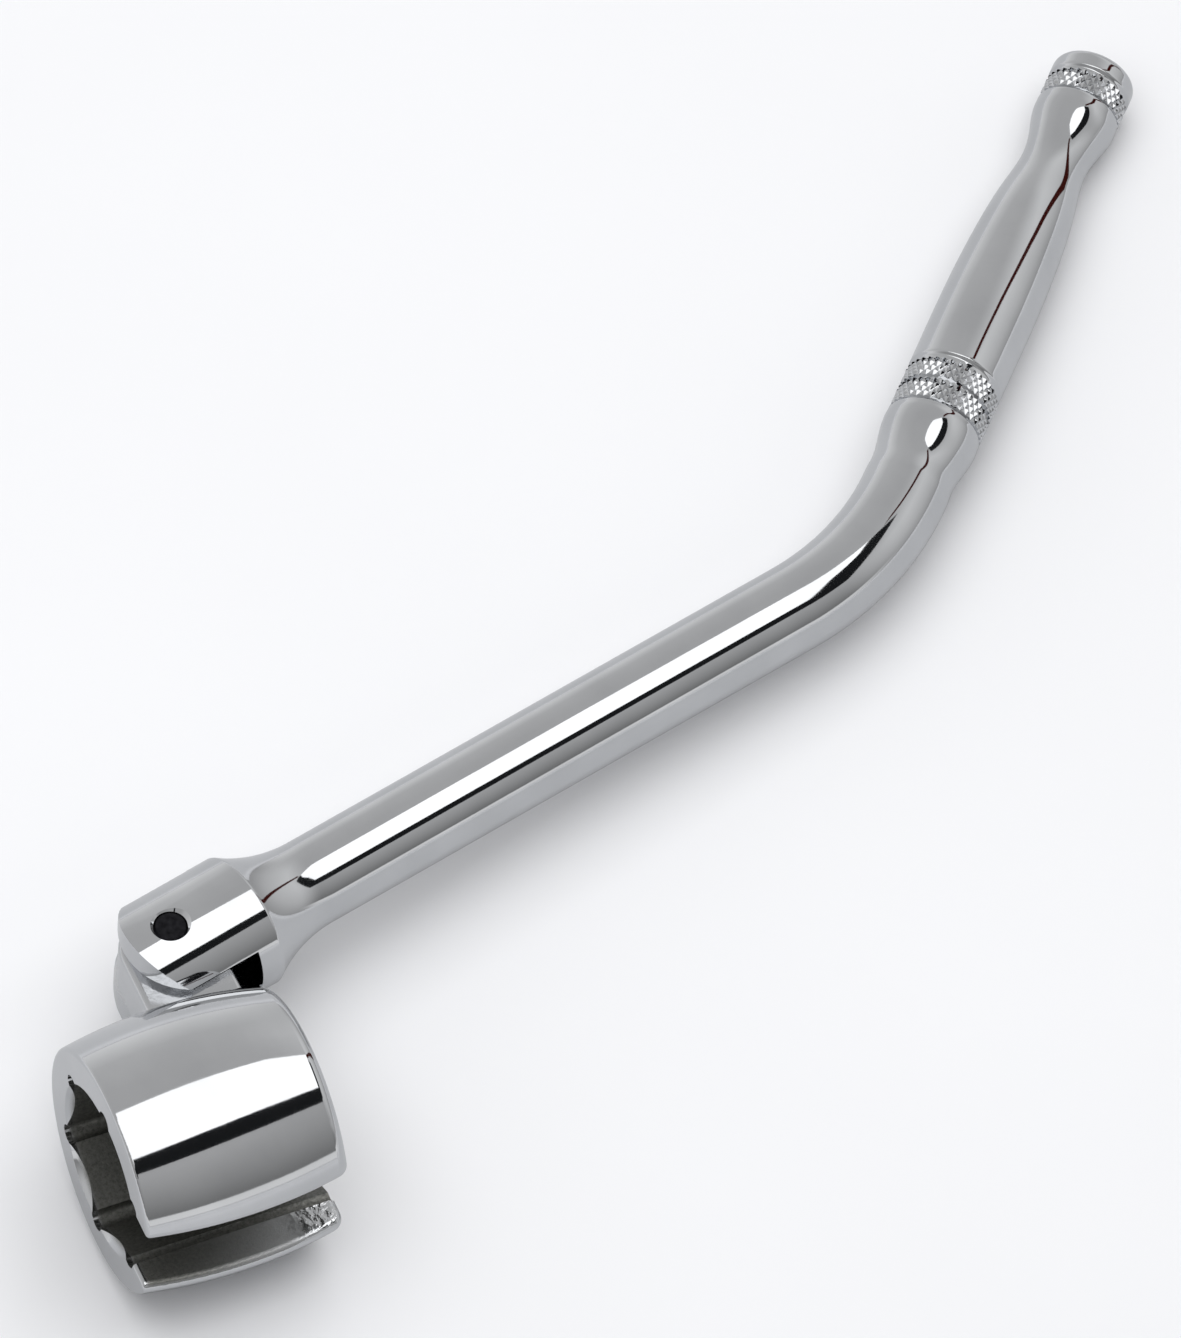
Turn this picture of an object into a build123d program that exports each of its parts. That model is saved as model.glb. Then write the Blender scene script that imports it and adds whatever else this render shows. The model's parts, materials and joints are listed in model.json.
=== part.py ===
from build123d import *
import os
from math import radians, sqrt, tan

# Flex-head slotted hex wrench: a slotted socket on a clevis pin at the end of a cranked handle.
# Millimetres.  It is drawn in the wrench's own axes, then laid on its side as it rests on a
# bench.  Wrench axes: origin on the pin, X along the shaft away from the fork, Y along the pin,
# Z towards the side that the head is folded to.  The handle bends towards -Z.

# ---- socket head ----
HEX_AF = 22.2             # 7/8 inch across flats, the sensor's hex
HEX_RELIEF_R = 1.5        # round relief in each corner of the hex
HEX_RELIEF_PITCH_R = 11.9
MOUTH_R = 12.1            # lead-in cone at the front face
BARREL_FRONT = 21.0       # front face, this far ahead of the pin
BARREL_REAR = 8.0         # rear face, this far behind the pin
BARREL_FRONT_R = 17.0
BARREL_BELLY_R = 18.35
BARREL_REAR_R = 16.8
BARREL_FRONT_ROUND = 0.6
BARREL_REAR_ROUND = 2.0
BARREL_OFFSET = 27.3      # pin axis to barrel axis
LEAD_SLOT_W = 11.2        # slot for the sensor's lead, through the wall opposite the tang
LEAD_SLOT_ROUND = 1.0     # on the slot's outer edges
TANG_T = 8.5
TANG_HALF_W = 6.7
TANG_EDGE = 0.9           # round along the tang's edges
TANG_BLEND_R = 0.8        # where the tang grows out of the barrel

# ---- fork ----
FORK_R = 9.45
FORK_TIP_X = -6.3         # the ears end this far past the pin
FORK_TIP_R = 9.6
FORK_SHOULDER_X = 12.3    # line where the ears' cylinder stops
FORK_SHOULDER_ROUND = 0.8
FORK_SLOT_W = 8.8
FORK_SLOT_ROOT_X = 8.9
EAR_EDGE = 0.9            # chamfer along the ears' inner edges
NECK_R = 20.0             # concave blend from the fork to the shaft

# ---- shaft, bend and grip; grip stations are measured from where the two axes cross ----
SHAFT_R = 6.1
BEND_X = 117.2
BEND_ANGLE = 33.0
BEND_R = 45.0
GRIP_NECK = (16.3, 5.98)
GRIP_SHOULDER = (23.2, 6.82)
GRIP_R = 6.75
GRIP_TAPER = ((50.0, 6.7), (59.0, 6.27), (66.5, 5.48), (73.4, 4.64), (77.6, 5.22))
POMMEL_START = 81.4
POMMEL_R = 5.93
GRIP_END = 90.0
CAP_ROUND = 1.2
GROOVE_DEPTH = 0.45
KNURL_DEPTH = 0.32        # knurl roots below the stock
GRIP_BAND = (24.2, 33.0)  # turned-down stretch that holds the two knurls
GRIP_KNURLS = ((24.9, 28.1), (28.7, 31.8))
POMMEL_BAND = (82.5, 87.2)
POMMEL_KNURLS = ((83.1, 86.2),)

# ---- pin and friction detent ----
PIN_R = 2.3
PIN_LENGTH = 17.9         # a little short of the ears' outside
PIN_CHAMFER = 0.3
PIN_CLEARANCE = 0.05      # radial, in the tang
EAR_MOUTH_R = 2.85        # countersunk mouth of the ears' holes
BALL_R = 1.6
BALL_GAP = 0.02
BALL_HOLE_R = 1.65
BALL_HOLE_END_X = 18.0
SPRING_R = 1.2            # to the wire's centre
SPRING_WIRE_R = 0.2
SPRING_TURNS = 7

# ---- rest pose ----
HEAD_FOLD = 12.8          # barrel axis off parallel with the shaft
LAY_ROLL = -0.55          # turns that put the barrel's belly and the pommel on the bench
LAY_PITCH = 3.31

SIDE_ON = Plane(origin=(0, 0, 0), x_dir=(0, 1, 0), z_dir=(1, 0, 0))  # looks along the shaft


def barrel_blank():
    """Convex barrel about the X axis, cut by the lead slot, with every outer edge rounded."""
    middle = (BARREL_REAR - BARREL_FRONT) / 2
    front = (-BARREL_FRONT, BARREL_FRONT_R)
    rear = (BARREL_REAR, BARREL_REAR_R)
    with BuildSketch() as outline:
        with BuildLine():
            ThreePointArc(front, (middle, BARREL_BELLY_R), rear)
            Polyline(rear, (BARREL_REAR, 0), (-BARREL_FRONT, 0), front)
        make_face()
        rear_rim = outline.vertices().filter_by(lambda v: v.Y > 1).sort_by(Axis.X)[-1]
        fillet(rear_rim, BARREL_REAR_ROUND)
    barrel = revolve(outline.sketch, Axis.X)
    barrel -= Box(80, LEAD_SLOT_W, 40, align=(Align.CENTER, Align.CENTER, Align.MIN))
    lips = barrel.edges().filter_by(lambda e: abs(abs(e.center().Y) - LEAD_SLOT_W / 2) < 0.01)
    barrel = fillet(lips.filter_by(lambda e: e.center().Z > BARREL_REAR_R - 2), LEAD_SLOT_ROUND)
    rims = barrel.faces().sort_by(Axis.X)[0].edges()
    outer = rims.filter_by(lambda e: max(abs(e.center().Y), abs(e.center().Z)) > LEAD_SLOT_W / 2 + 0.01)
    return fillet([e for e in outer if e.geom_type != GeomType.LINE], BARREL_FRONT_ROUND)


def hex_hole():
    """Hex with a flat towards the tang, relieved corners and a lead-in at the front."""
    profile = RegularPolygon(HEX_AF / sqrt(3), 6)
    profile += PolarLocations(HEX_RELIEF_PITCH_R, 6) * Circle(HEX_RELIEF_R)
    hole = Pos(-BARREL_FRONT - 1, 0, 0) * extrude(SIDE_ON * profile, BARREL_FRONT + BARREL_REAR + 2)
    lead_in = Cone(MOUTH_R, MOUTH_R - 3, 3, align=(Align.CENTER, Align.CENTER, Align.MIN))
    return hole + Pos(-BARREL_FRONT, 0, 0) * SIDE_ON.location * lead_in


def tang():
    """Flat tang, from inside the barrel's wall to its round end about the pin."""
    reach = BARREL_OFFSET - BARREL_BELLY_R + 3
    stem = Pos(0, reach / 2) * Rectangle(2 * TANG_HALF_W, reach)
    plate = extrude(Plane.XZ * (Circle(TANG_HALF_W) + stem), TANG_T / 2, both=True)
    return fillet(plate.edges().filter_by(Axis.Z), TANG_EDGE)


def socket_head():
    """Barrel, hex, lead slot and tang, with the barrel's axis parallel with X."""
    to_barrel = Pos(0, 0, BARREL_OFFSET)
    head = to_barrel * barrel_blank() + tang()
    head = fillet(tang_roots(head), TANG_BLEND_R)
    head -= to_barrel * hex_hole()
    head -= extrude(Plane.XZ * Circle(PIN_R + PIN_CLEARANCE), TANG_T, both=True)
    return head.solids()[0]


def tang_roots(head):
    """Edges where the tang meets the outside of the barrel."""
    def at_root(edge):
        box = edge.bounding_box()
        inside = max(abs(box.min.X), abs(box.max.X)) < TANG_HALF_W + 0.1
        inside = inside and max(abs(box.min.Y), abs(box.max.Y)) < TANG_T / 2 + 0.1
        lowest = BARREL_OFFSET - BARREL_BELLY_R - 0.1
        return inside and lowest < box.min.Z and box.max.Z < BARREL_OFFSET - BARREL_FRONT_R / 2
    return head.edges().filter_by(at_root)


def straight_part():
    """Fork blank, neck and shaft, turned about X."""
    rise = FORK_R - SHAFT_R
    neck_end = FORK_SHOULDER_X + sqrt(NECK_R ** 2 - (NECK_R - rise) ** 2)
    bend_start = BEND_X - BEND_R * tan(radians(BEND_ANGLE / 2))
    with BuildSketch() as outline:
        with BuildLine():
            TangentArc((neck_end, SHAFT_R), (FORK_SHOULDER_X, FORK_R), tangent=(-1, 0))
            Polyline((FORK_SHOULDER_X, FORK_R), (FORK_TIP_X - 1, FORK_R), (FORK_TIP_X - 1, 0),
                     (bend_start, 0), (bend_start, SHAFT_R), (neck_end, SHAFT_R))
        make_face()
        shoulder = outline.vertices().filter_by(lambda v: abs(v.X - FORK_SHOULDER_X) < 0.01)
        fillet(shoulder, FORK_SHOULDER_ROUND)
    return revolve(outline.sketch, Axis.X)


def bend():
    """The bent stretch of the shaft, a piece of a ring."""
    bend_start = BEND_X - BEND_R * tan(radians(BEND_ANGLE / 2))
    axis = Axis((bend_start, 0, -BEND_R), (0, 1, 0))
    section = SIDE_ON * Pos(0, 0, bend_start) * Circle(SHAFT_R)
    return revolve(section, axis, BEND_ANGLE)


def turned_band(band, knurls, stock_r):
    """Outline points of a turned-down band: grooves, with a raised land under each knurl."""
    floor = stock_r - GROOVE_DEPTH
    land = stock_r - KNURL_DEPTH
    points = [(band[0], stock_r), (band[0], floor)]
    for start, end in knurls:
        points += [(start, floor), (start, land), (end, land), (end, floor)]
    return points + [(band[1], floor), (band[1], stock_r)]


def grip():
    """Shoulder, knurled band, tapered grip, waist and pommel, turned about the grip's axis."""
    start = BEND_R * tan(radians(BEND_ANGLE / 2))
    pommel = (POMMEL_START, POMMEL_R)
    with BuildSketch() as outline:
        with BuildLine():
            Spline((start, SHAFT_R), GRIP_NECK, GRIP_SHOULDER, tangents=((1, 0), (1, 0)))
            Polyline(GRIP_SHOULDER, *turned_band(GRIP_BAND, GRIP_KNURLS, GRIP_R))
            Spline((GRIP_BAND[1], GRIP_R), *GRIP_TAPER, pommel, tangents=((1, 0), (1, 0)))
            Polyline(pommel, *turned_band(POMMEL_BAND, POMMEL_KNURLS, POMMEL_R),
                     (GRIP_END, POMMEL_R), (GRIP_END, 0), (start, 0), (start, SHAFT_R))
        make_face()
        cap_rim = outline.vertices().filter_by(lambda v: v.Y > 1).sort_by(Axis.X)[-1]
        fillet(cap_rim, CAP_ROUND)
    return Pos(BEND_X, 0, 0) * Rot(0, BEND_ANGLE, 0) * revolve(outline.sketch, Axis.X)


def handle():
    """The one forging: fork, shaft, bend and grip."""
    body = straight_part()
    tip_axis = Pos(FORK_TIP_X + FORK_TIP_R, 0, 0)
    tip_waste = Box(FORK_TIP_R + 5, 40, 40, align=(Align.MAX, Align.CENTER, Align.CENTER))
    body -= tip_axis * (tip_waste - Rot(90, 0, 0) * Cylinder(FORK_TIP_R, 50))
    slot_run = FORK_SLOT_ROOT_X - FORK_TIP_X + 5
    slot = Box(slot_run, FORK_SLOT_W, 40, align=(Align.MAX, Align.CENTER, Align.CENTER))
    body -= Pos(FORK_SLOT_ROOT_X, 0, 0) * slot
    body = chamfer(ear_inner_edges(body), EAR_EDGE)
    body -= Rot(90, 0, 0) * Cylinder(PIN_R, 40)
    for side in (-1, 1):
        mouth = Cone(PIN_R, EAR_MOUTH_R + 1, EAR_MOUTH_R + 1 - PIN_R)
        start = FORK_R - (EAR_MOUTH_R - PIN_R) + (EAR_MOUTH_R + 1 - PIN_R) / 2
        body -= Rot(-90 * side, 0, 0) * Pos(0, 0, start) * mouth
    body -= detent_hole()
    body += bend()
    body += grip()
    return body.solids()[0]


def ear_inner_edges(body):
    """The slot's edges on both ears, but not those at its root."""
    edges = body.edges().filter_by(lambda e: abs(abs(e.center().Y) - FORK_SLOT_W / 2) < 0.01)
    return edges.filter_by(lambda e: e.center().X < FORK_SLOT_ROOT_X - 0.1)


def detent_hole():
    """Blind hole in the slot's root for the spring and ball."""
    depth = BALL_HOLE_END_X - FORK_SLOT_ROOT_X + 1
    hole = Cylinder(BALL_HOLE_R, depth, align=(Align.CENTER, Align.CENTER, Align.MAX))
    return Pos(BALL_HOLE_END_X, 0, 0) * Rot(0, 90, 0) * hole


def friction_ball():
    """Ball that presses on the tang's round end and holds the head's angle."""
    return Pos(TANG_HALF_W + BALL_GAP + BALL_R, 0, 0) * Sphere(BALL_R)


def friction_spring():
    """Coil behind the ball, from the ball's back to the hole's bottom."""
    ball_back = TANG_HALF_W + BALL_GAP + BALL_R + sqrt(BALL_R ** 2 - SPRING_R ** 2)
    start = ball_back + SPRING_WIRE_R
    length = BALL_HOLE_END_X - SPRING_WIRE_R - start
    path = Helix(pitch=length / SPRING_TURNS, height=length, radius=SPRING_R)
    section = Plane(origin=path @ 0, z_dir=path % 0) * Circle(SPRING_WIRE_R)
    return Pos(start, 0, 0) * Rot(0, 90, 0) * sweep(section, path=path, is_frenet=True)


def pivot_pin():
    pin = Rot(90, 0, 0) * Cylinder(PIN_R, PIN_LENGTH)
    return chamfer(pin.edges().filter_by(GeomType.CIRCLE), PIN_CHAMFER)


def laid_down(shapes):
    """The shapes on their side, with the middle of their box's bottom at the origin."""
    lay = Rot(0, LAY_PITCH, 0) * Rot(LAY_ROLL, 0, 0) * Rot(90, 0, 0)
    box = Compound([lay * shape for shape in shapes.values()]).bounding_box()
    to_origin = Pos(-box.center().X, -box.center().Y, -box.min.Z)
    return {name: to_origin * lay * shape for name, shape in shapes.items()}


wrench = {
    "socket_head": Rot(0, -HEAD_FOLD, 0) * socket_head(),
    "handle": handle(),
    "pivot_pin": pivot_pin(),
    "friction_ball": friction_ball(),
    "friction_spring": friction_spring(),
}
os.makedirs("parts", exist_ok=True)
for name, shape in laid_down(wrench).items():
    export_step(shape, "parts/" + name + ".step")
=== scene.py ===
import json
from math import cos, pi, radians, sin, sqrt, tan

import bmesh
import bpy
import numpy as np
from mathutils import Matrix, Vector


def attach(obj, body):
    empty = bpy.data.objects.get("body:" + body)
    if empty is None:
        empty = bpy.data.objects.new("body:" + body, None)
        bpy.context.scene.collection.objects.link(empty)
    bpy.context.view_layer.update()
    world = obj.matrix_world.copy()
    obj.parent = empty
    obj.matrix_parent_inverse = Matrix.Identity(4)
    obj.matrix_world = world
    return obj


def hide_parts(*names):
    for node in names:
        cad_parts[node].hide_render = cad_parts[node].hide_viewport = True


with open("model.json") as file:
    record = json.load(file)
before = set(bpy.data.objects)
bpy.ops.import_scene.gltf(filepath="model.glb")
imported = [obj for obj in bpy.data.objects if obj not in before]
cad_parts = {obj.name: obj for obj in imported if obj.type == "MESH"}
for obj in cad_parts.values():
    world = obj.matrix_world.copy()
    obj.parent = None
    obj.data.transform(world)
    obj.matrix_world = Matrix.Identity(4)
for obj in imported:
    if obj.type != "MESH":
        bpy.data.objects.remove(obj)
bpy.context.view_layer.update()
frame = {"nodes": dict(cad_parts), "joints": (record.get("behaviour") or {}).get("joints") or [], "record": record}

# Flex-head slotted hex wrench: the CAD pieces with their finishes, real diamond knurling,
# and a small studio.  Lengths are metres; MM turns the wrench's own sizes into them.
MM = 0.001

# ---- sizes shared with the CAD model ----
HEX_CORNER_R = 13.4 * MM           # out to the relief in the hex's corners
LEAD_SLOT_W = 11.2 * MM
TANG_CAST_END = 9.0 * MM           # the barrel starts here, from the pin
FORK_R = 9.45 * MM
FORK_SHOULDER_X = 12.3 * MM
FORK_SHOULDER_ROUND = 0.8 * MM
NECK_R = 20.0 * MM
SHAFT_R = 6.1 * MM
BEND_ANGLE = radians(33)
BEND_R = 45.0 * MM
GRIP_MOUNT_AT = 48.0 * MM          # the grip mount's station along the grip's axis
GRIP_NECK = (16.3 * MM, 5.98 * MM)
GRIP_SHOULDER = (23.2 * MM, 6.82 * MM)
GRIP_R = 6.75 * MM
GRIP_TAPER = ((50.0 * MM, 6.7 * MM), (59.0 * MM, 6.27 * MM), (66.5 * MM, 5.48 * MM),
              (73.4 * MM, 4.64 * MM), (77.6 * MM, 5.22 * MM))
POMMEL_START = 81.4 * MM
POMMEL_R = 5.93 * MM
GRIP_END = 90.0 * MM
CAP_ROUND = 1.2 * MM
GROOVE_DEPTH = 0.45 * MM
KNURL_DEPTH = 0.32 * MM
GRIP_BAND = (24.2 * MM, 33.0 * MM)
GRIP_KNURLS = ((24.9 * MM, 28.1 * MM), (28.7 * MM, 31.8 * MM))
POMMEL_BAND = (82.5 * MM, 87.2 * MM)
POMMEL_KNURL = (83.1 * MM, 86.2 * MM)


def mount(name):
    """Place and direction of one of the record's mounts."""
    found = next(m for m in frame["record"]["mounts"] if m["name"] == name)
    return Vector(found["pos_m"]), Vector(found["axis"]).normalized()


# ---- the wrench's own axes, worked out from the frame ----
flex = frame["joints"][0]
PIN = Vector(flex["pos_m"])
PIN_AXIS = Vector(flex["axis"]).normalized()
grip_mount, GRIP_AXIS = mount("grip")
BEND = grip_mount - GRIP_MOUNT_AT * GRIP_AXIS         # where shaft and grip axes cross
SHAFT_AXIS = (BEND - PIN).normalized()
bore_front, out_of_bore = mount("hex_socket")
BARREL_AXIS = -out_of_bore                            # towards the grip
TO_BARREL = BARREL_AXIS.cross(PIN_AXIS).normalized()  # from the pin to the barrel's axis
if TO_BARREL.dot(bore_front - PIN) < 0:
    TO_BARREL.negate()


def axes(origin, x_axis, y_axis, z_axis):
    """Matrix that takes local coordinates to the row frame."""
    turned = Matrix((x_axis, y_axis, z_axis)).transposed().to_4x4()
    turned.translation = origin
    return turned


WRENCH = axes(PIN, SHAFT_AXIS, PIN_AXIS, SHAFT_AXIS.cross(PIN_AXIS))
BEND_X = (BEND - PIN).length
BEND_REACH = BEND_R * tan(BEND_ANGLE / 2)             # from the axes' crossing to the bend's ends


# =============================== materials ===============================

class Nodes:
    """Short way to write the node tree of a material or of the world."""

    def __init__(self, owner, shader="Principled BSDF", place="Object"):
        owner.use_nodes = True
        self.tree = owner.node_tree
        self.shader = self.tree.nodes[shader]
        self.place = self.new("ShaderNodeTexCoord").outputs[place]

    def new(self, kind, **settings):
        node = self.tree.nodes.new(kind)
        for key, value in settings.items():
            setattr(node, key, value)
        return node

    def link(self, source, target):
        self.tree.links.new(source, target)

    def noise(self, size, detail=2.0, roughness=0.5):
        """Noise whose features are about size metres across."""
        node = self.new("ShaderNodeTexNoise")
        node.inputs["Scale"].default_value = 1 / size
        node.inputs["Detail"].default_value = detail
        node.inputs["Roughness"].default_value = roughness
        self.link(self.place, node.inputs["Vector"])
        return node.outputs["Fac"]

    def smooth(self, value, low, high):
        """0 below low, 1 above high, and a smooth rise between."""
        node = self.new("ShaderNodeMapRange", interpolation_type="SMOOTHSTEP")
        self.link(value, node.inputs["Value"])
        node.inputs["From Min"].default_value = low
        node.inputs["From Max"].default_value = high
        return node.outputs["Result"]

    def below(self, value, low, high):
        """The reverse of smooth: 1 below low and 0 above high."""
        return self.math("SUBTRACT", 1.0, self.smooth(value, low, high))

    def along(self, origin, direction):
        """How far a point of the piece is from origin along direction."""
        offset = self.new("ShaderNodeVectorMath", operation="SUBTRACT")
        self.link(self.place, offset.inputs[0])
        offset.inputs[1].default_value = origin
        reach = self.new("ShaderNodeVectorMath", operation="DOT_PRODUCT")
        self.link(offset.outputs["Vector"], reach.inputs[0])
        reach.inputs[1].default_value = direction
        return reach.outputs["Value"]

    def ramp(self, source, stops):
        """Values or colours at positions, evenly graded between them."""
        node = self.new("ShaderNodeValToRGB")
        points = node.color_ramp.elements
        while len(points) < len(stops):
            points.new(0.5)
        for point, (at, value) in zip(points, stops):
            point.position = at
            colour = (value,) * 3 if isinstance(value, float) else value
            point.color = (*colour, 1)
        self.link(source, node.inputs["Fac"])
        return node.outputs["Color"]

    def graded(self, source, edges, pair):
        """The pair's first value below the edges, its second above, evenly graded between."""
        return self.ramp(source, tuple(zip(edges, pair)))

    def math(self, operation, a, b=None):
        node = self.new("ShaderNodeMath", operation=operation)
        for socket, value in zip(node.inputs, (a, b)):
            if isinstance(value, (int, float)):
                socket.default_value = value
            elif value is not None:
                self.link(value, socket)
        return node.outputs["Value"]

    def mix(self, factor, a, b):
        """Colours or sockets a and b, mixed by the factor's socket."""
        node = self.new("ShaderNodeMix", data_type="RGBA")
        for name, value in (("Factor", factor), ("A", a), ("B", b)):
            socket = [s for s in node.inputs if s.name == name and s.enabled][0]
            if isinstance(value, tuple):
                socket.default_value = (*value, 1)
            else:
                self.link(value, socket)
        return [s for s in node.outputs if s.enabled][0]

    def bump(self, height, distance, onto=None):
        node = self.new("ShaderNodeBump")
        node.inputs["Distance"].default_value = distance
        self.link(height, node.inputs["Height"])
        if onto is not None:
            self.link(onto, node.inputs["Normal"])
        return node.outputs["Normal"]


CHROME_BRIGHT = (0.655, 0.665, 0.68)
CHROME_DULL = (0.60, 0.61, 0.625)
CHROME_ROUGHNESS = (0.065, 0.04)
CLOUD_SIZE = 9 * MM
CLOUD_EDGES = (0.3, 0.7)           # noise values where clouds and grains begin and end
WAVE_SIZE, WAVE_HEIGHT = 7 * MM, 0.012 * MM
PEEL_SIZE, PEEL_HEIGHT = 0.25 * MM, 0.0006 * MM
# Inside the hex and the slot: thin matt plate, its two speckle colours darkened with painted shade of the recess.
SATIN_AND_SHADE_DARK = (0.14, 0.14, 0.13)
SATIN_AND_SHADE_LIGHT = (0.30, 0.30, 0.28)
# Painted light: the paler colour the slot's walls take on towards their back end.
SATIN_PAINTED_LIGHT = (0.62, 0.63, 0.64)
SATIN_ROUGHNESS = (0.50, 0.38)
SPECKLE_SIZE, PIT_DEPTH = 0.5 * MM, 0.03 * MM
SPECKLE_EDGES = (0.35, 0.7)
LUMP_SIZE, LUMP_HEIGHT = 1.6 * MM, 0.35 * MM
LUMP_PLATE = 0.8                   # how much bright plate the lumpy stretch keeps
CAST_ROUGHNESS = (0.22, 0.12)
CAST_SIZE, CAST_HEIGHT = 0.6 * MM, 0.03 * MM


def plated(name):
    """Bright plate: faint cloudiness and a trace of waviness.  Returns its parts to build on."""
    material = bpy.data.materials.new(name)
    n = Nodes(material)
    n.shader.inputs["Metallic"].default_value = 1.0
    cloud = n.noise(CLOUD_SIZE, detail=4)
    colour = n.graded(cloud, CLOUD_EDGES, (CHROME_DULL, CHROME_BRIGHT))
    roughness = n.graded(cloud, CLOUD_EDGES, CHROME_ROUGHNESS)
    waviness = n.bump(n.noise(WAVE_SIZE, detail=1), WAVE_HEIGHT)
    normal = n.bump(n.noise(PEEL_SIZE), PEEL_HEIGHT, waviness)
    return material, n, colour, roughness, normal


def finish_shader(n, colour, roughness, normal):
    n.link(colour, n.shader.inputs["Base Color"])
    n.link(roughness, n.shader.inputs["Roughness"])
    n.link(normal, n.shader.inputs["Normal"])


def chrome():
    material, n, *parts = plated("chrome_plate")
    finish_shader(n, *parts)
    return material


def head_chrome():
    """The same plate, thin and dulled inside the hex and the slot, where its colour also carries painted shade of
    the recess and, towards the slot's back end, painted light; cast-rough on the tang.
    """
    material, n, colour, roughness, normal = plated("chrome_head")
    inside, slot_painted_light, lumpy = socket_masks(n)
    # Painted shade of the recess on the hex and slot walls, lifted with painted light towards the slot's back end.
    satin_and_shade = n.math("MULTIPLY", inside, n.math("SUBTRACT", 1.0, n.math("MULTIPLY", lumpy, LUMP_PLATE)))
    speckle = n.noise(SPECKLE_SIZE, detail=6, roughness=0.7)
    dull_and_painted_light = n.mix(slot_painted_light, n.graded(speckle, SPECKLE_EDGES, (SATIN_AND_SHADE_DARK, SATIN_AND_SHADE_LIGHT)), SATIN_PAINTED_LIGHT)
    colour = n.mix(satin_and_shade, colour, dull_and_painted_light)
    roughness = n.mix(satin_and_shade, roughness, n.graded(speckle, SPECKLE_EDGES, SATIN_ROUGHNESS))
    normal = n.bump(n.math("MULTIPLY", speckle, satin_and_shade), PIT_DEPTH, normal)
    lumps = n.noise(LUMP_SIZE, detail=3)
    normal = n.bump(n.math("MULTIPLY", lumps, lumpy), LUMP_HEIGHT, normal)
    on_tang = n.below(n.along(PIN, TO_BARREL), TANG_CAST_END - 1 * MM, TANG_CAST_END)
    cast = n.noise(CAST_SIZE, detail=3)
    roughness = n.mix(on_tang, roughness, n.graded(cast, CLOUD_EDGES, CAST_ROUGHNESS))
    normal = n.bump(n.math("MULTIPLY", cast, on_tang), CAST_HEIGHT, normal)
    finish_shader(n, colour, roughness, normal)
    return material


def socket_masks(n):
    """Masks of the hex and slot walls, of the slot's painted light, which grows towards its back end, and of its
    lumpy back end.
    """
    depth = n.along(bore_front, BARREL_AXIS)
    across = n.math("ABSOLUTE", n.along(bore_front, PIN_AXIS))
    outward = n.along(bore_front, TO_BARREL)
    radius = n.math("SQRT", n.math("ADD", n.math("POWER", across, 2.0), n.math("POWER", outward, 2.0)))
    in_hex = n.below(radius, HEX_CORNER_R, HEX_CORNER_R + 0.3 * MM)
    in_slot = n.math("MULTIPLY", n.smooth(outward, 5 * MM, 6 * MM),
                     n.below(across, LEAD_SLOT_W / 2 + 0.1 * MM, LEAD_SLOT_W / 2 + 0.6 * MM))
    past_front = n.smooth(depth, 0.3 * MM, 1.2 * MM)
    inside = n.math("MULTIPLY", n.math("MAXIMUM", in_hex, in_slot), past_front)
    # Painted light: the slot's walls grow paler from 2 mm to 28 mm deep.
    slot_painted_light = n.math("MULTIPLY", in_slot, n.smooth(depth, 2 * MM, 28 * MM))
    lumpy = n.math("MULTIPLY", in_slot, n.smooth(depth, 20 * MM, 26 * MM))
    return inside, slot_painted_light, lumpy


GRAIN_HEIGHT = 0.01 * MM
GRAIN_ROUGHENING = 0.08


def plain_metal(name, dark, light, roughness, grain):
    """Steel whose colour and roughness vary a little with its grain."""
    material = bpy.data.materials.new(name)
    n = Nodes(material)
    n.shader.inputs["Metallic"].default_value = 1.0
    grain_noise = n.noise(grain, detail=5)
    colour = n.graded(grain_noise, CLOUD_EDGES, (dark, light))
    uneven = n.graded(grain_noise, CLOUD_EDGES, (roughness + GRAIN_ROUGHENING, roughness))
    finish_shader(n, colour, uneven, n.bump(grain_noise, GRAIN_HEIGHT))
    return material


def dress(piece, material):
    piece.data.materials.clear()
    piece.data.materials.append(material)


# =============================== handle ===============================

AROUND = 160                       # points round the bar
SHOULDER_RINGS, NECK_RINGS, SHAFT_RINGS, BEND_RINGS = 8, 30, 6, 50
FRONT_RINGS, GRIP_RINGS, CAP_RINGS = 90, 150, 12
LIP_RINGS, LAND_RINGS = 10, 4
GROOVE_LIP = 0.5 * MM              # the bands' edges roll over this far
BALL_HOLE_R = 2.0 * MM             # the friction ball's hole lies within this radius, on the axis
BALL_HOLE_END = 19.0 * MM
MERGE = 0.001 * MM                 # corners this close are one point
ON_SHOULDER = 0.01 * MM            # slack of what counts as ahead of the shoulder's ring
AGREES = 0.7                       # least cosine between a corner's normal and its face's
NECK_END = FORK_SHOULDER_X + sqrt(NECK_R ** 2 - (NECK_R - FORK_R + SHAFT_R) ** 2)
NECK_CENTRE_R = SHAFT_R + NECK_R
SHOULDER_CENTRE_R = FORK_R - FORK_SHOULDER_ROUND
SHOULDER_X = NECK_END - sqrt((NECK_R + FORK_SHOULDER_ROUND) ** 2
                             - (NECK_CENTRE_R - SHOULDER_CENTRE_R) ** 2)
NECK_X = NECK_END + (SHOULDER_X - NECK_END) * NECK_R / (NECK_R + FORK_SHOULDER_ROUND)


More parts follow.
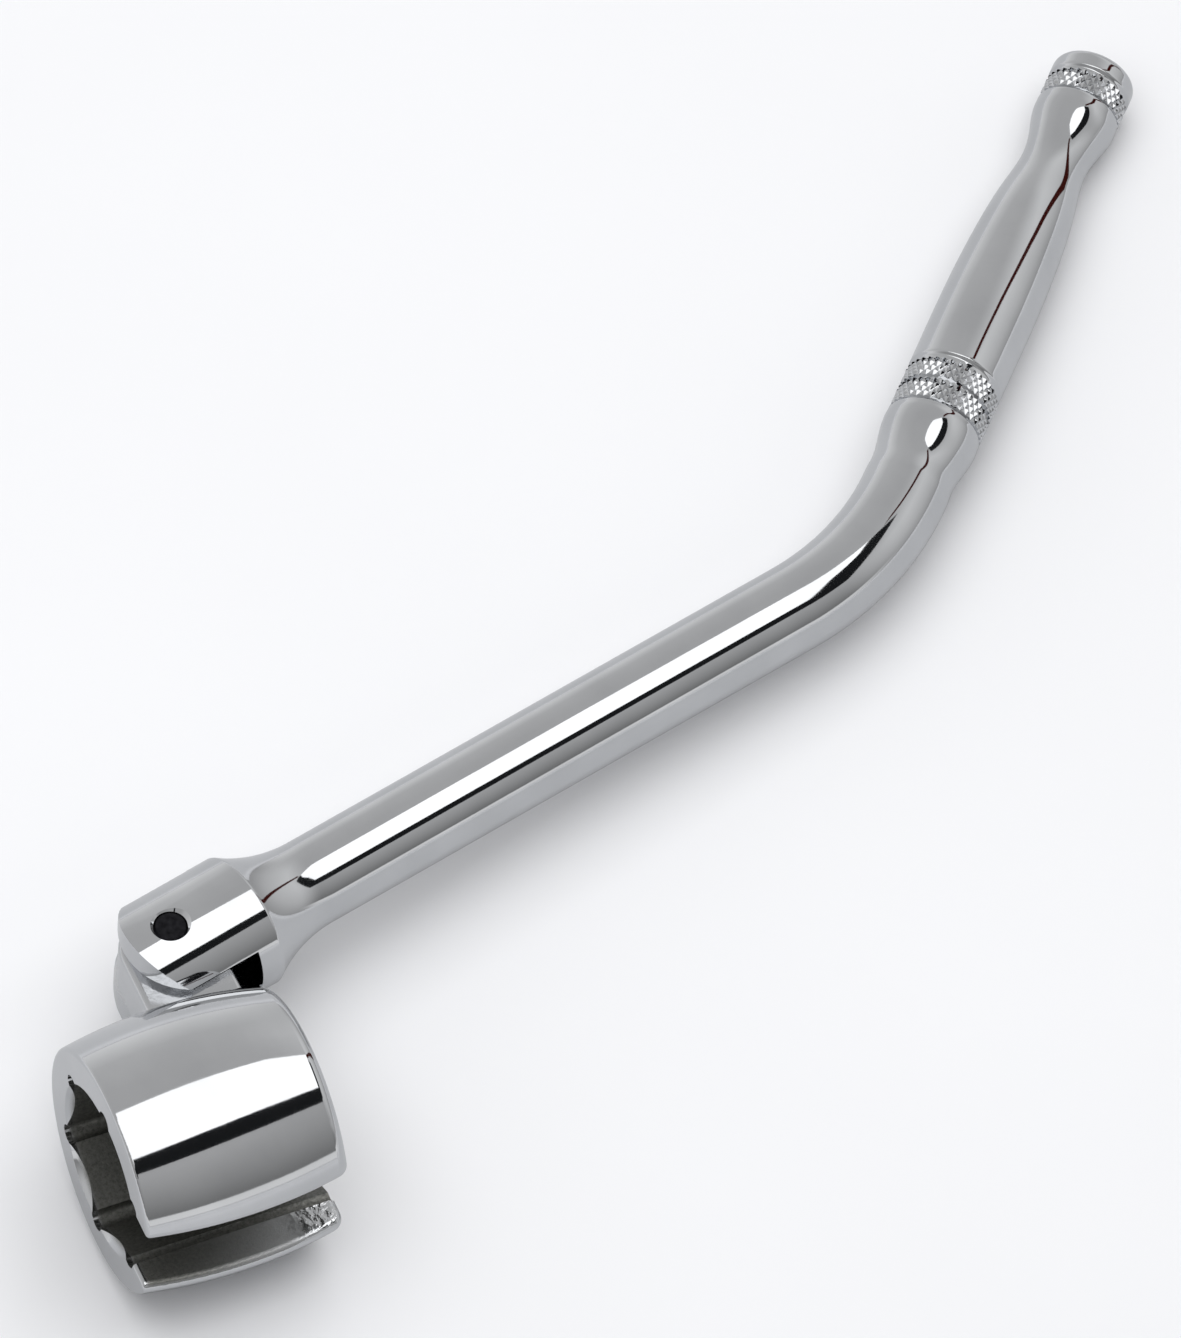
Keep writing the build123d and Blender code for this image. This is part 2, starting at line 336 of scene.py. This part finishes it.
def smooth_curve(points):
    """Cubic spline through the points, level at both ends, as a function."""
    x, y = np.array(points).T
    h, count = np.diff(x), len(x)
    system, right = np.eye(count), np.zeros(count)
    for k in range(1, count - 1):
        system[k, k - 1:k + 2] = 1 / h[k - 1], 2 / h[k - 1] + 2 / h[k], 1 / h[k]
        right[k] = 3 * ((y[k] - y[k - 1]) / h[k - 1] ** 2 + (y[k + 1] - y[k]) / h[k] ** 2)
    slope = np.linalg.solve(system, right)

    def value(at):
        k = int(np.clip(np.searchsorted(x, at) - 1, 0, count - 2))
        t = (at - x[k]) / h[k]
        return float((1 + 2 * t) * (1 - t) ** 2 * y[k] + t * (1 - t) ** 2 * h[k] * slope[k]
                     + t * t * (3 - 2 * t) * y[k + 1] - t * t * (1 - t) * h[k] * slope[k + 1])
    return value


shoulder_curve = smooth_curve([(BEND_REACH, SHAFT_R), GRIP_NECK, GRIP_SHOULDER])
taper_curve = smooth_curve([(GRIP_BAND[1], GRIP_R), *GRIP_TAPER, (POMMEL_START, POMMEL_R)])


def neck_radius(x):
    """Radius of the straight part, from the fork's rounded shoulder to the shaft."""
    if x < NECK_X:
        return SHOULDER_CENTRE_R + sqrt(FORK_SHOULDER_ROUND ** 2 - (x - SHOULDER_X) ** 2)
    return NECK_CENTRE_R - sqrt(NECK_R ** 2 - (NECK_END - min(x, NECK_END)) ** 2)


def rolled(t):
    """Smooth step from 0 to 1."""
    t = min(max(t, 0), 1)
    return t * t * (3 - 2 * t)


def grip_radius(g):
    """Radius at station g of the grip, with the turned-down bands under the knurls."""
    if g < GRIP_SHOULDER[0]:
        return shoulder_curve(g)
    if g < GRIP_BAND[0]:
        blend = rolled((g - GRIP_SHOULDER[0]) / (GRIP_BAND[0] - GRIP_SHOULDER[0]))
        return GRIP_SHOULDER[1] + blend * (GRIP_R - GRIP_SHOULDER[1])
    stock = GRIP_R if g < GRIP_BAND[1] else taper_curve(g) if g < POMMEL_START else POMMEL_R
    if g > GRIP_END - CAP_ROUND:
        over = min(g - (GRIP_END - CAP_ROUND), CAP_ROUND)
        return POMMEL_R - CAP_ROUND + sqrt(CAP_ROUND ** 2 - over ** 2)
    for start, end in (GRIP_BAND, POMMEL_BAND):
        stock -= GROOVE_DEPTH * rolled((g - start) / GROOVE_LIP) * rolled((end - g) / GROOVE_LIP)
    return stock


def spaced(start, end, count):
    """count stations from start towards end, without the end."""
    return [start + (end - start) * k / count for k in range(count)]


def bar_sections():
    """(centre, turn, radius) of every ring of the bar, from the fork's shoulder to the cap."""
    straight = spaced(SHOULDER_X, NECK_X, SHOULDER_RINGS)[1:]
    straight += spaced(NECK_X, NECK_END, NECK_RINGS)
    straight += spaced(NECK_END, BEND_X - BEND_REACH, SHAFT_RINGS)
    for x in straight:
        yield Vector((x, 0, 0)), 0, neck_radius(x)
    for turn in spaced(0, BEND_ANGLE, BEND_RINGS):
        centre = Vector((BEND_X - BEND_REACH + BEND_R * sin(turn), 0, BEND_R * (cos(turn) - 1)))
        yield centre, turn, SHAFT_R
    lip = GROOVE_LIP
    stations = spaced(BEND_REACH, GRIP_BAND[0], FRONT_RINGS)
    for (start, end), following, count in ((GRIP_BAND, POMMEL_BAND[0], GRIP_RINGS),
                                           (POMMEL_BAND, GRIP_END - CAP_ROUND, LAND_RINGS)):
        stations += spaced(start, start + lip, LIP_RINGS)
        stations += spaced(start + lip, end - lip, LAND_RINGS)
        stations += spaced(end - lip, end, LIP_RINGS)
        stations += spaced(end, following, count)
    stations += [GRIP_END - CAP_ROUND * (1 - sin(a)) for a in spaced(0, pi / 2, CAP_RINGS)]
    for g in stations + [GRIP_END]:
        centre = Vector((BEND_X + g * cos(BEND_ANGLE), 0, -g * sin(BEND_ANGLE)))
        yield centre, BEND_ANGLE, grip_radius(g)


def fork_faces():
    """The CAD handle's triangles ahead of the shoulder, and its ball's hole: corners and normals."""
    cad = frame["nodes"]["handle"].data
    to_wrench = WRENCH.inverted()
    turn = to_wrench.to_3x3()
    points = [to_wrench @ v.co for v in cad.vertices]
    normals = [turn @ Vector(n.vector) for n in cad.corner_normals]
    kept = []
    for face in cad.polygons:
        middle = sum((points[v] for v in face.vertices), Vector()) / len(face.vertices)
        in_hole = sqrt(middle.y ** 2 + middle.z ** 2) < BALL_HOLE_R and 0 < middle.x < BALL_HOLE_END
        if middle.x < SHOULDER_X + ON_SHOULDER or in_hole:
            flat = turn @ face.normal
            own = [normals[c] for c in face.loop_indices]
            kept.append(([points[v] for v in face.vertices],
                         [n if n.dot(flat) > AGREES else flat for n in own]))
    return kept


def handle_forging():
    """The CAD fork, continued by a finely drawn neck, shaft, bend and grip."""
    mesh = bmesh.new()
    merged, corner_normals = {}, []
    for points, normals in fork_faces():
        corners = []
        for p in points:
            key = tuple(round(c / MERGE) for c in p)
            if key not in merged:
                merged[key] = mesh.verts.new(p)
            corners.append(merged[key])
        if len(set(corners)) == len(corners) and mesh.faces.get(corners) is None:
            mesh.faces.new(corners)
            corner_normals += normals
    rim = [e for e in mesh.edges
           if e.is_boundary and all(abs(v.co.x - SHOULDER_X) < 2 * ON_SHOULDER for v in e.verts)]
    rings = []
    for centre, turn, radius in bar_sections():
        up = Vector((sin(turn), 0, cos(turn)))
        rings.append([mesh.verts.new(centre + radius * (cos(a) * Vector((0, 1, 0)) + sin(a) * up))
                      for a in spaced(0, 2 * pi, AROUND)])
    for ring, following in zip(rings, rings[1:]):
        for k in range(AROUND):
            after = (k + 1) % AROUND
            mesh.faces.new((ring[k], ring[after], following[after], following[k]))
    mesh.faces.new(rings[-1])
    first = set(rings[0])
    start = [e for e in mesh.edges if e.is_boundary and first.issuperset(e.verts)]
    bmesh.ops.bridge_loops(mesh, edges=rim + start)
    bmesh.ops.recalc_face_normals(mesh, faces=mesh.faces)
    for face in mesh.faces:
        face.smooth = True
    piece = finished(mesh, "handle_forging", WRENCH)
    turn = WRENCH.to_3x3()
    normals = [turn @ n for n in corner_normals]
    normals += [Vector()] * (len(piece.data.loops) - len(normals))
    piece.data.normals_split_custom_set(normals)
    return piece


# =============================== knurling ===============================

KNURL_PITCH = 1.15 * MM            # around the grip
KNURL_ROWS = 4                     # half diamonds along each band
KNURL_TIP = 0.2                    # flat tip, as a share of a diamond
KNURL_CREASE = 0.95                # 1 keeps the pyramids sharp, 0 rounds them fully
KNURL_SMOOTHING = 2                # subdivisions
KNURL_SINK = 0.20 * MM             # the ring's sides reach this far below its grooves
KNURL_CUT = 0.96                   # the grooves' depth, as a share of KNURL_DEPTH
ON_RIM = 1e-7                      # slack of what counts as on a ring's end


def knurled_ring(name, stock_r, start, end):
    """Ring of diamond knurls round the grip's axis: V grooves cross and leave blunt pyramids."""
    around = 2 * round(2 * pi * stock_r / KNURL_PITCH)
    root_r = stock_r - KNURL_DEPTH * KNURL_CUT
    step = (end - start) / KNURL_ROWS
    mesh = bmesh.new()

    def point(i, j, radius):
        angle = 2 * pi * (i % around) / around
        return mesh.verts.new((start + j * step, radius * cos(angle), radius * sin(angle)))

    crossing = {(i, j): point(i, j, root_r)
                for i in range(around) for j in range(KNURL_ROWS + 1) if (i + j) % 2 == 0}
    for j in range(KNURL_ROWS + 1):
        for i in range(around):
            if (i + j) % 2 == 0:
                continue
            sides = [(1, 0), (0, 1), (-1, 0), (0, -1)]
            sides = [(di, dj) for di, dj in sides if 0 <= j + dj <= KNURL_ROWS]
            corners = [crossing[(i + di) % around, j + dj] for di, dj in sides]
            tips = [point(i + KNURL_TIP * di, j + KNURL_TIP * dj, stock_r) for di, dj in sides]
            whole = len(sides) == 4
            for k in range(4 if whole else 2):
                following = (k + 1) % len(sides)
                mesh.faces.new((corners[k], corners[following], tips[following], tips[k]))
            mesh.faces.new(tips)
    for j in (0, KNURL_ROWS):
        close_end(mesh, start + j * step, root_r - KNURL_SINK)
    bmesh.ops.recalc_face_normals(mesh, faces=mesh.faces)
    crease = mesh.edges.layers.float.new("crease_edge")
    for edge in mesh.edges:
        edge[crease] = KNURL_CREASE
    return finished(mesh, name, axes(BEND, GRIP_AXIS, PIN_AXIS, GRIP_AXIS.cross(PIN_AXIS)))


def close_end(mesh, x, inner_r):
    """Side wall of a knurled ring, from its ragged rim inwards."""
    rim = [e for e in mesh.edges if e.is_boundary and all(abs(v.co.x - x) < ON_RIM for v in e.verts)]
    made = bmesh.ops.extrude_edge_only(mesh, edges=rim)["geom"]
    for v in (g for g in made if isinstance(g, bmesh.types.BMVert)):
        radius = sqrt(v.co.y ** 2 + v.co.z ** 2)
        v.co.y *= inner_r / radius
        v.co.z *= inner_r / radius


def finished(mesh, name, place):
    """The bmesh as an object in the row frame."""
    mesh.transform(place)
    data = bpy.data.meshes.new(name)
    mesh.to_mesh(data)
    mesh.free()
    piece = bpy.data.objects.new(name, data)
    bpy.context.scene.collection.objects.link(piece)
    return piece


chrome_plate = chrome()
black_steel = plain_metal("black_steel", (0.012, 0.012, 0.014), (0.03, 0.03, 0.034), 0.35, 0.8 * MM)
bearing_steel = plain_metal("bearing_steel", (0.5, 0.5, 0.52), (0.6, 0.6, 0.62), 0.12, 0.5 * MM)
spring_steel = plain_metal("spring_steel", (0.3, 0.3, 0.31), (0.4, 0.4, 0.41), 0.3, 0.3 * MM)

forging = handle_forging()
dress(forging, chrome_plate)
dress(frame["nodes"]["handle"], chrome_plate)
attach(forging, "handle")
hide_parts("handle")
dress(frame["nodes"]["socket_head"], head_chrome())
dress(frame["nodes"]["pivot_pin"], black_steel)
dress(frame["nodes"]["friction_ball"], bearing_steel)
dress(frame["nodes"]["friction_spring"], spring_steel)

rings = [("knurl_grip_front", GRIP_R, *GRIP_KNURLS[0]),
         ("knurl_grip_rear", GRIP_R, *GRIP_KNURLS[1]),
         ("knurl_pommel", POMMEL_R, *POMMEL_KNURL)]
for ring in rings:
    piece = knurled_ring(*ring)
    piece.modifiers.new("rounding", "SUBSURF").render_levels = KNURL_SMOOTHING
    dress(piece, chrome_plate)
    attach(piece, "handle")


# =============================== studio ===============================

def mesh_card(name, corners, material, real=False):
    """Flat card through the given corners.  Unless real, it shows in reflections alone."""
    mesh = bmesh.new()
    mesh.faces.new([mesh.verts.new(c) for c in corners])
    card = finished(mesh, name, Matrix.Identity(4))
    dress(card, material)
    card.visible_camera = card.visible_shadow = real
    return card


def glowing(name, colour):
    material = bpy.data.materials.new(name)
    material.use_nodes = True
    tree = material.node_tree
    tree.nodes.clear()
    glow = tree.nodes.new("ShaderNodeEmission")
    glow.inputs["Color"].default_value = (*colour, 1)
    out = tree.nodes.new("ShaderNodeOutputMaterial")
    tree.links.new(glow.outputs["Emission"], out.inputs["Surface"])
    return material


CARD_HEIGHT = 0.50
KEY = ((-0.40, -0.27), (0.295, -0.27), (0.315, -0.13), (0.36, -0.06), (0.36, 0.01), (0.22, 0.085),
       (-0.40, 0.12))
FLAG = ((-0.60, -0.272), (0.297, -0.272), (0.317, -0.13), (0.362, -0.06), (0.362, 0.008),
        (0.385, 0.0), (0.47, -0.06), (0.47, -0.43), (-0.60, -0.43))
STAND_X = 0.40
STAND_Y = (0.0, 0.03)
STAND_FOOT = 0.03
KEY_GLOW = (1.65, 1.65, 1.65)
FLAG_BLACK = (0.012, 0.013, 0.014)
STAND_RED = (0.05, 0.008, 0.006)


def overhead(name, outline, material):
    mesh_card(name, [(x, y, CARD_HEIGHT) for x, y in outline], material)


overhead("key_card", KEY, glowing("key_glow", KEY_GLOW))
overhead("flag_card", FLAG, glowing("flag_black", FLAG_BLACK))
mesh_card("stand_card", [(STAND_X, STAND_Y[0], STAND_FOOT), (STAND_X, STAND_Y[1], STAND_FOOT),
                         (STAND_X, STAND_Y[1], CARD_HEIGHT), (STAND_X, STAND_Y[0], CARD_HEIGHT)],
          glowing("stand_red", STAND_RED))


def square(half, height):
    return [(x * half, y * half, height) for x, y in ((-1, -1), (1, -1), (1, 1), (-1, 1))]


def paper(name):
    """Matt paper that has no colour yet."""
    material = bpy.data.materials.new(name)
    n = Nodes(material)
    n.shader.inputs["Roughness"].default_value = 0.9
    n.shader.inputs["Specular IOR Level"].default_value = 0.1
    return material, n


FLOOR_HALF = 3.0
FLOOR_TONES = ((0.865, 0.87, 0.89), (0.885, 0.89, 0.91))
FLOOR_MOTTLE = 0.12                # size of the paper's faint patches


def floor():
    material, n = paper("floor_paper")
    mottle = n.noise(FLOOR_MOTTLE, detail=3)
    n.link(n.graded(mottle, CLOUD_EDGES, FLOOR_TONES), n.shader.inputs["Base Color"])
    mesh_card("floor", square(FLOOR_HALF, 0), material, real=True)


floor()

# Painted shade for the tool's reflections: a card darker than the floor and darkest near the tool, over the real
# shadows it receives.
UNDER_HALF = 0.6
UNDER_HEIGHT = 0.3 * MM
UNDER_SHADE_TONES = ((0.60, 0.605, 0.62), (0.80, 0.805, 0.825))
UNDER_SHADE_FADE = (0.10, 0.40)          # the first tone up to here from the centre, the second beyond


def painted_shade_card():
    """Paper just above the floor, which shows in the tool's reflections alone: painted shade, duller than the
    floor and darkest round the tool.
    """
    material, n = paper("painted_shade_paper")
    distance = n.new("ShaderNodeVectorMath", operation="LENGTH")
    n.link(n.place, distance.inputs[0])
    # Painted shade: darkest near the centre, where the tool lies.
    tone = n.mix(n.smooth(distance.outputs["Value"], *UNDER_SHADE_FADE), *UNDER_SHADE_TONES)
    n.link(tone, n.shader.inputs["Base Color"])
    card = mesh_card("painted_shade_card", square(UNDER_HALF, UNDER_HEIGHT), material)
    card.visible_diffuse = False


painted_shade_card()

# Room brightness by height (0 at the horizon, 1 overhead) on the near, far and right sides.
NEAR_SIDE = ((0.0, 0.88), (0.085, 0.84), (0.10, 0.22), (0.35, 0.34), (0.7, 0.50), (1.0, 0.56))
FAR_SIDE = ((0.0, 0.84), (0.15, 0.74), (0.4, 0.58), (0.8, 0.52), (1.0, 0.52))
RIGHT_SIDE = ((0.0, 0.42), (0.25, 0.60), (0.6, 0.78), (1.0, 0.6))
FAR_EDGES = (-0.15, 0.25)          # y of a direction, from all near side to all far side
RIGHT_EDGES = (0.5, 0.8)           # x of a direction, up to all right side
BACKDROP = (0.95, 0.95, 0.95)


def room():
    """Soft grey room light, and a plain pale backdrop behind the object."""
    world = bpy.data.worlds.new("room")
    bpy.context.scene.world = world
    n = Nodes(world, shader="Background", place="Generated")
    split = n.new("ShaderNodeSeparateXYZ")
    n.link(n.place, split.inputs["Vector"])
    x, y, height = split.outputs
    sides = n.mix(n.smooth(y, *FAR_EDGES), n.ramp(height, NEAR_SIDE), n.ramp(height, FAR_SIDE))
    walls = n.mix(n.smooth(x, *RIGHT_EDGES), sides, n.ramp(height, RIGHT_SIDE))
    seen = n.new("ShaderNodeLightPath").outputs["Is Camera Ray"]
    n.link(n.mix(seen, walls, BACKDROP), n.shader.inputs["Color"])


room()

WASH_SIZE = 2.0
WASH_HEIGHT = 1.6
WASH_WATTS = 17


def floor_wash():
    """Even light for the floor: it makes no reflections."""
    light = bpy.data.lights.new("floor_wash", "AREA")
    light.shape = "SQUARE"
    light.size = WASH_SIZE
    light.energy = WASH_WATTS
    lamp = bpy.data.objects.new("floor_wash", light)
    lamp.location = (0, 0, WASH_HEIGHT)
    lamp.visible_glossy = False
    lamp.visible_camera = False
    bpy.context.scene.collection.objects.link(lamp)


floor_wash()

# =============================== camera ===============================
CAMERA_DISTANCE = 2.2
CAMERA_TARGET = Vector((-17.968, -11.14, 39.739)) * MM
CAMERA_AWAY = Vector((-0.332, -0.419, 0.845)).normalized()    # from the target to the camera
CAMERA_UP = Vector((0.487, 0.691, 0.533))
CAMERA_LENS = 445.07               # both in millimetres, as Blender keeps them
CAMERA_SENSOR = 36

camera_data = bpy.data.cameras.new("camera")
camera_data.lens = CAMERA_LENS
camera_data.sensor_width = CAMERA_SENSOR
camera_data.clip_end = 20
camera = bpy.data.objects.new("camera", camera_data)
bpy.context.scene.collection.objects.link(camera)
right = CAMERA_UP.cross(CAMERA_AWAY).normalized()
camera.matrix_world = axes(CAMERA_TARGET + CAMERA_DISTANCE * CAMERA_AWAY, right,
                           CAMERA_AWAY.cross(right), CAMERA_AWAY)
bpy.context.scene.camera = camera
bpy.context.scene.view_settings.view_transform = "Standard"
